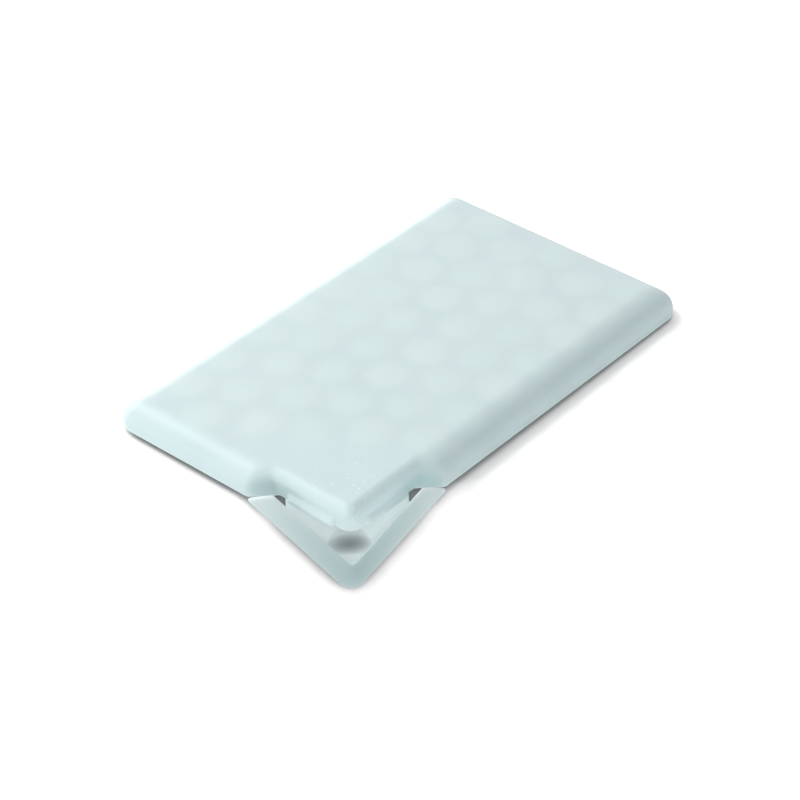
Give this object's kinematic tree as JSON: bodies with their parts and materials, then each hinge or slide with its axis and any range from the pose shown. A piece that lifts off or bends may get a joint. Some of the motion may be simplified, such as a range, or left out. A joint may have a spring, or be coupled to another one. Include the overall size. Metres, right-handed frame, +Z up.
{
  "type": "mint card dispenser",
  "caption": "Flat pocket dispenser case of frosted plastic, filled with round mints, with a corner flap on a film hinge that swings down from an outlet.",
  "frame": {"origin": "centre of the base plate's underside, under the centre of the card-sized outline", "axes": "+X along the long side, away from the outlet corner; +Y along the short side, away from the outlet corner; +Z up, out of the top face"},
  "size_m": [0.0841, 0.0511, 0.0157],
  "materials": {
    "frosted_polypropylene": "frosted, translucent, faintly mint-tinted",
    "pressed_mint": "pressed sugar, matt, pale green"
  },
  "bodies": {
    "case": {"top_shell": "frosted_polypropylene", "base_plate": "frosted_polypropylene", "hinge_film": "frosted_polypropylene", "mint_01": "pressed_mint", "mint_02": "pressed_mint", "mint_03": "pressed_mint", "mint_04": "pressed_mint", "mint_05": "pressed_mint", "mint_06": "pressed_mint", "mint_07": "pressed_mint", "mint_08": "pressed_mint", "mint_09": "pressed_mint", "mint_10": "pressed_mint", "mint_11": "pressed_mint", "mint_12": "pressed_mint", "mint_13": "pressed_mint", "mint_14": "pressed_mint", "mint_15": "pressed_mint", "mint_16": "pressed_mint", "mint_17": "pressed_mint", "mint_18": "pressed_mint", "mint_19": "pressed_mint", "mint_20": "pressed_mint", "mint_21": "pressed_mint", "mint_22": "pressed_mint", "mint_23": "pressed_mint", "mint_24": "pressed_mint", "mint_25": "pressed_mint", "mint_26": "pressed_mint", "mint_27": "pressed_mint", "mint_28": "pressed_mint", "mint_29": "pressed_mint", "mint_30": "pressed_mint", "mint_31": "pressed_mint", "mint_32": "pressed_mint", "mint_33": "pressed_mint", "mint_34": "pressed_mint", "mint_35": "pressed_mint", "mint_36": "pressed_mint", "mint_37": "pressed_mint", "mint_38": "pressed_mint", "mint_39": "pressed_mint", "mint_40": "pressed_mint", "mint_41": "pressed_mint", "mint_42": "pressed_mint", "mint_43": "pressed_mint", "mint_44": "pressed_mint", "mint_45": "pressed_mint", "mint_46": "pressed_mint", "mint_47": "pressed_mint"},
    "flap": {"corner_flap": "frosted_polypropylene"}
  },
  "joints": [
    {"name": "flap_hinge", "type": "hinge", "parent": "case", "child": "flap", "pos_m": [-0.0307, -0.0142, 0], "axis": [0.7071, -0.7071, 0], "range_deg": [-48, 72]}
  ]
}
